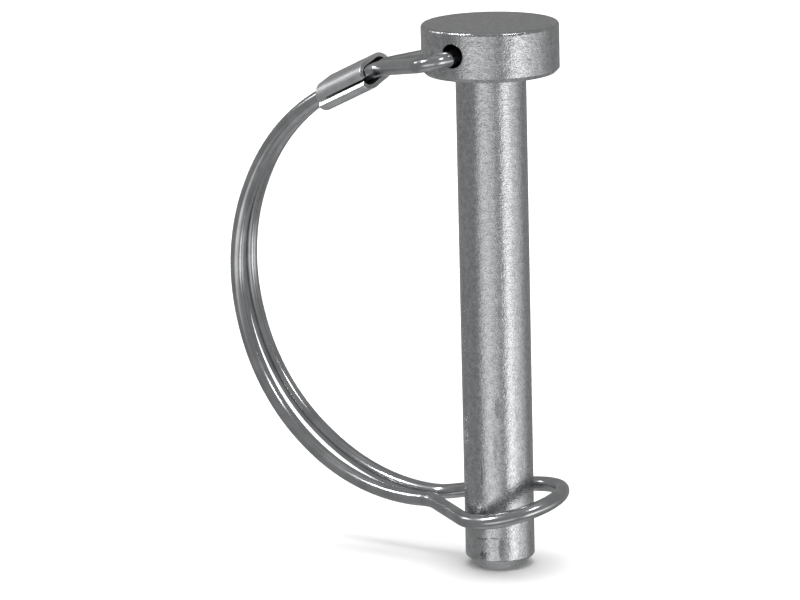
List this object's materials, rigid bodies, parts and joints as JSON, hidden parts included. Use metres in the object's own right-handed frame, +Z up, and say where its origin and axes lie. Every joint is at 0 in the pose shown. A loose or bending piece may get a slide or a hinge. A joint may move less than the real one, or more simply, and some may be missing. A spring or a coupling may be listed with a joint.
{
  "type": "tiller pin",
  "caption": "Turned steel pin with a drilled head and a hinged spring wire bow whose eyelet slips over the foot to lock the pin in its holes",
  "frame": {"origin": "centre of the foot's flat end, on the pin's axis", "axes": "+Z runs up the pin's axis to the head, Y is the hinge line through the head's cross hole, and the bow lies toward -X"},
  "size_m": [0.0674, 0.0334, 0.0948],
  "materials": {
    "pin": "zinc plated, turned, lightly scuffed",
    "wire": "smooth drawn spring wire, plated",
    "sleeve": "plated sheet, satin"
  },
  "bodies": {
    "pin": {"pin": "pin"},
    "bow": {"wire_bow": "wire", "sleeve": "sleeve"}
  },
  "joints": [
    {"name": "bow_swing", "type": "hinge", "parent": "pin", "child": "bow", "pos_m": [-0.00028, 0, 0.09034], "axis": [0, 1, 0], "range_deg": [0, 250], "deforming": ["wire_bow"]}
  ]
}
